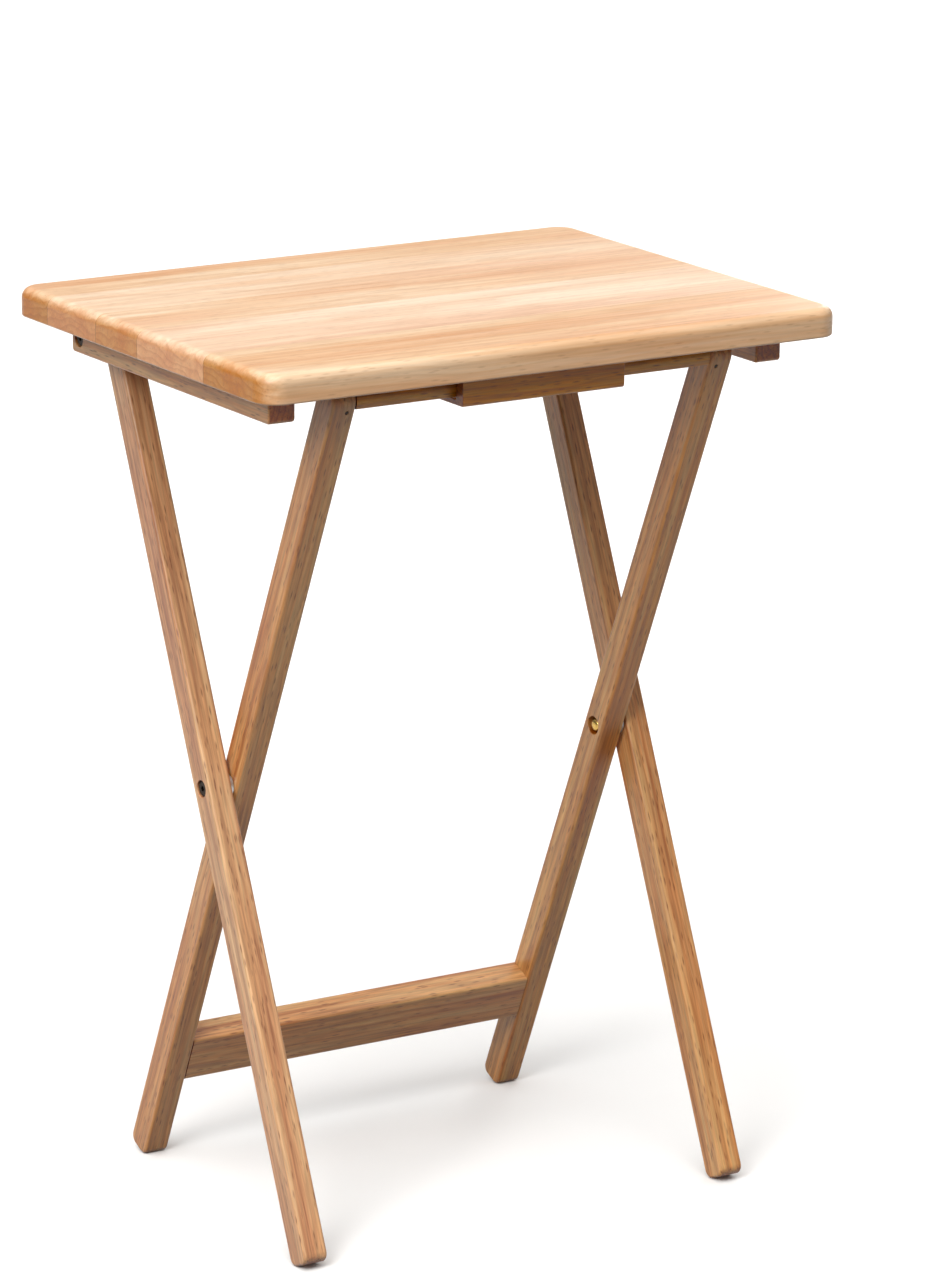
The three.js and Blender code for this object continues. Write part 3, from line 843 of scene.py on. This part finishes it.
stretcher_low, stretcher_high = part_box("lower_stretcher")
stretcher_place = (stretcher_low + stretcher_high) / 2
STRETCHER_TALL = 38.5 * MM
STRETCHER_DEEP = 21.5 * MM
stretcher_outline = [(sy * STRETCHER_DEEP / 2, sz * STRETCHER_TALL / 2)
                     for sy, sz in ((-1, -1), (1, -1), (1, 1), (-1, 1))]
rail("lower_stretcher", stretcher_outline, stretcher_place, 64, 0.1, RAIL_ROUNDING,
     [dowel_hole(f"stretcher_dowel_{level}_{side}") for level in ("upper", "lower")
      for side in ("left", "right")])

BAR_RADIUS = leg_radius - 0.3 * MM
BAR_BELOW = 2.2 * MM
bar_outline = [(-BAR_RADIUS, -BAR_BELOW), (BAR_RADIUS, -BAR_BELOW)]
bar_outline += arc((0, 0), BAR_RADIUS, 0, 180, 32)
# The crossbar's deep tone of 0.9 is partly its own redder board and partly painted shade: it
# runs just under the panel, where the panel's shade falls.
rail("upper_crossbar", bar_outline, crossbar_place, 71, 0.9, 0.8 * MM,
     [dowel_hole(f"crossbar_dowel_{side}") for side in ("left", "right")])

# %% [markdown]
# ## Cleats and the hook
#
# A cleat runs under each end of the panel, front to back. It carries the top pivot, so it has
# the same recess as the outer legs, and its two lower corners are rounded off. The hook is
# sawn from a thicker piece: a wall down from the panel in front of the crossbar, and a lip
# that reaches back under it, which is what holds the table open.

# %% Cleats
CLEAT_CORNER = 3 * MM
CLEAT_ROUNDING = 1.6 * MM
for side, outward, board, tone in (("right", 1, 83, 0.5), ("left", -1, 92, 0.1)):
    low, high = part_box(f"cleat_{side}")
    middle = (low + high) / 2
    half_length, half_height = (high.y - low.y) / 2, (high.z - low.z) / 2
    thickness = high.x - low.x
    # The cleat is drawn upside down along its own x axis, which runs from front to back.
    reach_x, reach_y = half_length - CLEAT_CORNER, half_height - CLEAT_CORNER
    outline = [(half_length, half_height), (-half_length, half_height)]
    outline += arc((-reach_x, -reach_y), CLEAT_CORNER, 180, 270, 14)
    outline += arc((reach_x, -reach_y), CLEAT_CORNER, 270, 360, 14)
    flat = [Vector((x, y, -thickness / 2)) for x, y in outline]
    mesh = round_over(swept(flat, Vector((0, 0, thickness))), CLEAT_ROUNDING)
    piece = put_down(f"cleat_{side}_shown", mesh, middle, along=Vector((0, 1, 0)),
                     through=across)
    outer_face, inner_face = (high.x, low.x) if outward > 0 else (low.x, high.x)
    cutters = [bolt_hole(outer_face, inner_face, top_pivot, outward)]
    cutters += [screw_hole(node) for node in cleat_screws[side]]
    cut_out(piece, cutters)
    hand_over_board(piece, f"cleat_{side}", board, tone)

# %% Hook
hook_low, hook_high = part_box("latch_block")
HOOK_WALL = 10 * MM
HOOK_LIP = 4.6 * MM
HOOK_CORNER = 2.5 * MM
HOOK_ROUNDING = 0.9 * MM
wall_back = hook_low.y + HOOK_WALL
lip_top = hook_low.z + HOOK_LIP
hook_outline = [(hook_low.y, hook_high.z)]
hook_outline += arc((hook_low.y + HOOK_CORNER, hook_low.z + HOOK_CORNER), HOOK_CORNER,
                    180, 270, 8)
hook_outline += [(hook_high.y, hook_low.z), (hook_high.y, lip_top), (wall_back, lip_top),
                 (wall_back, hook_high.z)]
hook_middle = (hook_low + hook_high) / 2
hook_length = hook_high.x - hook_low.x
hook_flat = [Vector((-hook_length / 2, y - hook_middle.y, z - hook_middle.z))
             for y, z in hook_outline]
hook_mesh = round_over(swept(hook_flat, Vector((hook_length, 0, 0))), HOOK_ROUNDING)
hook = put_down("latch_block_shown", hook_mesh, hook_middle)
cut_out(hook, [screw_hole(node) for node in hook_screws])
# The hook's deep tone of 0.8 is partly its own redder board and partly painted shade from the
# panel that it is screwed under.
hand_over_board(hook, "latch_block", 101, 0.8)

# %% [markdown]
# ## Bolts, nuts, washers and dowels
#
# The hardware is all round, so each kind is one profile turned about its axis. Making it again
# here gives smooth rims, small chamfers and a domed nut. Every piece is measured from the
# model's own, so that it stays inside it.

# %% Pivot bolts
BOLT_HEAD = 3 * MM            # the head's thickness
BOLT_SHANK = 3 * MM           # the shank's radius
HEAD_ROUNDING = 0.9 * MM
SOCKET_RADIUS = 2.3 * MM      # to a corner: 4 mm across the flats
SOCKET_DEPTH = 1.8 * MM
SOCKET_LENGTH = 3 * MM


def hexagon_socket(place, outward):
    """A cutter for a 4 mm hexagon key, at the middle of a bolt head."""
    turns = [math.radians(60 * i) for i in range(6)]
    corners = [Vector((0, SOCKET_RADIUS * math.cos(t), SOCKET_RADIUS * math.sin(t)))
               for t in turns]
    mesh = swept(corners, across * SOCKET_LENGTH)
    start = place - across * (SOCKET_DEPTH if outward > 0 else SOCKET_LENGTH - SOCKET_DEPTH)
    return put_down("socket", mesh, start)


for pivot in ("centre_bolt", "top_pivot_bolt"):
    for side, outward in (("right", 1), ("left", -1)):
        node = f"{pivot}_{side}"
        low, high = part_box(node)
        middle = (low + high) / 2
        length, head = high.x - low.x, (high.z - low.z) / 2
        seat = length - BOLT_HEAD
        profile = [(0, 0), (BOLT_SHANK - 0.6 * MM, 0), (BOLT_SHANK, 0.8 * MM),
                   (BOLT_SHANK, seat), (head - 0.2 * MM, seat), (head, seat + 0.2 * MM)]
        profile += [(head - HEAD_ROUNDING + x, length - HEAD_ROUNDING + z)
                    for x, z in arc((0, 0), HEAD_ROUNDING, 0, 90, 6)]
        profile.append((0, length))
        start = Vector((low.x if outward > 0 else high.x, middle.y, middle.z))
        bolt = turned(node + "_shown", profile, start, across * outward)
        face = Vector((high.x if outward > 0 else low.x, middle.y, middle.z))
        cut_out(bolt, [hexagon_socket(face, outward)])
        hand_over(smooth_off(bolt), node, black_steel)
        print(node, round(length / MM, 1), "mm long")

# %% Rings, cap nuts, dowels and nails
def ring(node, material, slot, chamfer=0.3 * MM):
    """A washer, spacer or sleeve with chamfered rims."""
    low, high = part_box(node)
    outer, width = (high.z - low.z) / 2, high.x - low.x
    profile = [(BORE, 0), (outer - chamfer, 0), (outer, chamfer), (outer, width - chamfer),
               (outer - chamfer, width), (BORE, width), (BORE, 0)]
    start = Vector((low.x, (low.y + high.y) / 2, (low.z + high.z) / 2))
    sleeve = smooth_off(turned(node + "_shown", profile, start, across))
    hand_over(sleeve, node, material)


for side, inward in (("right", -1), ("left", 1)):
    ring(f"centre_spacer_{side}", zinc_steel, "zinc_steel")
    ring(f"top_pivot_spacer_{side}", zinc_steel, "zinc_steel")
    ring(f"centre_nut_washer_{side}", black_steel, "dark_steel")
    ring(f"top_pivot_insert_{side}", plated_brass, "brass", chamfer=0.6 * MM)

    node = f"centre_cap_nut_{side}"
    low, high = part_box(node)
    body, height = (high.z - low.z) / 2, high.x - low.x
    dome, pocket = 2.2 * MM, 3.6 * MM
    profile = [(0, height - pocket), (BORE, height - pocket), (BORE, height),
               (body - 0.3 * MM, height), (body, height - 0.3 * MM)]
    profile += [(x, dome - z * dome / body) for x, z in arc((0, 0), body, 0, 90, 12)]
    profile[-1] = (0, 0)
    start = Vector((low.x if inward < 0 else high.x, centre_pivot.y, centre_pivot.z))
    nut = smooth_off(turned(node + "_shown", profile, start, across * -inward))
    hand_over(nut, node, plated_brass)

    for kind in ("stretcher_dowel_upper", "stretcher_dowel_lower", "crossbar_dowel"):
        node = f"{kind}_{side}"
        low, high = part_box(node)
        body, length = (high.z - low.z) / 2, high.x - low.x
        profile = [(0, 0), (body - MM, 0), (body, 1.5 * MM), (body, length - 1.5 * MM),
                   (body - MM, length), (0, length)]
        start = Vector((low.x, (low.y + high.y) / 2, (low.z + high.z) / 2))
        dowel = smooth_off(turned(node + "_shown", profile, start, across))
        hand_over(dowel, node, beech)

    node = f"crossbar_brad_{side}"
    low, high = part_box(node)
    head, shank = 1.3 * MM, 0.7 * MM
    profile = [(0, 0), (head - 0.2 * MM, 0), (head, 0.3 * MM), (head, 0.9 * MM),
               (shank, MM), (shank, NAIL_LENGTH - 1.5 * MM), (0, NAIL_LENGTH)]
    start = (low + high) / 2 - into_leg * (NAIL_LENGTH / 2)
    nail = smooth_off(turned(node + "_shown", profile, start, into_leg, facets=24))
    hand_over(nail, node, black_steel)

# %% [markdown]
# ## Floor and light
#
# The table stands on a plain pale floor. The light is a studio's: a wide diffuser overhead,
# which makes the top the brightest face and lets the underside go dark, a key from the front
# left for the faces turned to the viewer, and a weak soft box at the back right that puts a
# sheen on the top. An area light would do for the diffuser, but it fades across the floor, so a
# sun with a very wide disc is used: its light is as soft and is even everywhere. The sky fades
# from overhead down to the horizon, and the floor throws no light back, because a white floor
# lights the underside as if from a lamp.

# %% Floor and light
def pale_paper(name, own_light=0.0):
    """Matt paper, nearly white, with a faint mottle so that it isn't one flat colour."""
    material, tree = empty_material(name)
    own = add_node(tree, "ShaderNodeTexCoord")
    mottle = add_node(tree, "ShaderNodeTexNoise",
                      {"Vector": own.outputs["Object"], "Scale": 3, "Detail": 3})
    colour = add_stops(tree, mottle.outputs["Fac"], [(0.3, "#F1F0EE"), (0.7, "#F6F5F3")])
    shader = add_node(tree, "ShaderNodeBsdfPrincipled",
                      {"Base Color": colour.outputs[0], "Roughness": 0.9,
                       "Emission Color": colour.outputs[0], "Emission Strength": own_light})
    add_node(tree, "ShaderNodeOutputMaterial", {"Surface": shader.outputs[0]})
    return material


FLOOR_HALF = 30
floor_mesh = bmesh.new()
bmesh.ops.create_grid(floor_mesh, x_segments=4, y_segments=4, size=FLOOR_HALF)
floor = put_down("studio_floor", floor_mesh, Vector((0, 0, model_box[0][2] - 0.2 * MM)))
floor.data.materials.append(pale_paper("Paper_backdrop_matt"))
floor.visible_diffuse = False

# From low angles the floor would end in a dim sky, so a bright paper wall stands round it. It
# is only there to be looked at: it casts no shadow and lights nothing.
WALL_RADIUS, WALL_HEIGHT = 28, 30
wall_mesh = bmesh.new()
bmesh.ops.create_cone(wall_mesh, cap_ends=False, segments=64, radius1=WALL_RADIUS,
                      radius2=WALL_RADIUS, depth=WALL_HEIGHT)
wall = put_down("studio_wall", wall_mesh,
                floor.location + Vector((0, 0, WALL_HEIGHT / 2)))
wall.data.materials.append(pale_paper("Paper_backdrop_lit", own_light=1.0))
wall.visible_diffuse = False
wall.visible_glossy = False
wall.visible_shadow = False


def soft_box(name, place, target, size, power):
    """A square area light at a place, turned towards a target."""
    lamp = bpy.data.lights.new(name, "AREA")
    lamp.size = size
    lamp.energy = power
    holder = bpy.data.objects.new(name, lamp)
    holder.location = place
    holder.rotation_euler = (target - Vector(place)).to_track_quat("-Z", "Y").to_euler()
    bpy.context.scene.collection.objects.link(holder)


SUN_DIRECTION = Vector((0.36, 0.3, -1))
sun = bpy.data.lights.new("overhead_diffuser", "SUN")
sun.energy = 1.62
sun.angle = math.radians(50)
overhead = bpy.data.objects.new("overhead_diffuser", sun)
overhead.rotation_euler = SUN_DIRECTION.to_track_quat("-Z", "Y").to_euler()
bpy.context.scene.collection.objects.link(overhead)

table_middle = Vector((0, 0, panel_high.z * 0.6))
soft_box("front_left_key", (-2.5, -1.5, 2.2), table_middle, size=1.4, power=58)
soft_box("back_right_sheen", (2.9, 2.4, 1.6), table_middle, size=1.3, power=22)

sky = bpy.data.worlds.new("studio_sky")
bpy.context.scene.world = sky
sky.use_nodes = True
sky.node_tree.nodes.clear()
direction = add_node(sky.node_tree, "ShaderNodeTexCoord")
height = add_node(sky.node_tree, "ShaderNodeSeparateXYZ", {0: direction.outputs["Generated"]})
horizon = add_node(sky.node_tree, "ShaderNodeMapRange",
                   {"Value": height.outputs["Z"], "From Min": 0.0, "From Max": 0.9,
                    "To Min": 0.05, "To Max": 1.0})
glow = add_node(sky.node_tree, "ShaderNodeBackground",
                {"Color": linear("#FFFFFF"), "Strength": horizon.outputs[0]})
add_node(sky.node_tree, "ShaderNodeOutputWorld", {"Surface": glow.outputs[0]})
bpy.context.scene.view_settings.view_transform = "Standard"
print("floor at", round(floor.location.z / MM, 1), "mm")

# %% [markdown]
# ## Camera
#
# Furniture is often shown through a long lens from a few metres away, which keeps upright
# lines nearly upright. The camera looks from the front left, a little above the top.
# It is placed by its angles and distance from an aim point, and it has a very small roll.

# %% Camera
AZIMUTH = math.radians(-32.19)
ELEVATION = math.radians(14.84)
ROLL = math.radians(0.52)
DISTANCE = 4.387
LENS = 166.1
AIM_HEIGHT = 0.33
AIM_RIGHT, AIM_UP = 0.0344, 0.0778

back = Vector((math.sin(AZIMUTH) * math.cos(ELEVATION),
               -math.cos(AZIMUTH) * math.cos(ELEVATION), math.sin(ELEVATION)))
level_right = Vector((math.cos(AZIMUTH), math.sin(AZIMUTH), 0))
level_up = back.cross(level_right)
right = level_right * math.cos(ROLL) + level_up * math.sin(ROLL)
up = level_up * math.cos(ROLL) - level_right * math.sin(ROLL)
camera = bpy.data.objects.new("camera", bpy.data.cameras.new("camera"))
camera.data.lens = LENS
camera.data.sensor_width = 36
aim = Vector((0, 0, AIM_HEIGHT)) + right * AIM_RIGHT + up * AIM_UP
turn = Matrix((right, up, back)).transposed().to_4x4()
camera.matrix_world = Matrix.Translation(aim + back * DISTANCE) @ turn
bpy.context.scene.collection.objects.link(camera)
bpy.context.scene.camera = camera
print("camera at", [round(c, 3) for c in camera.location])
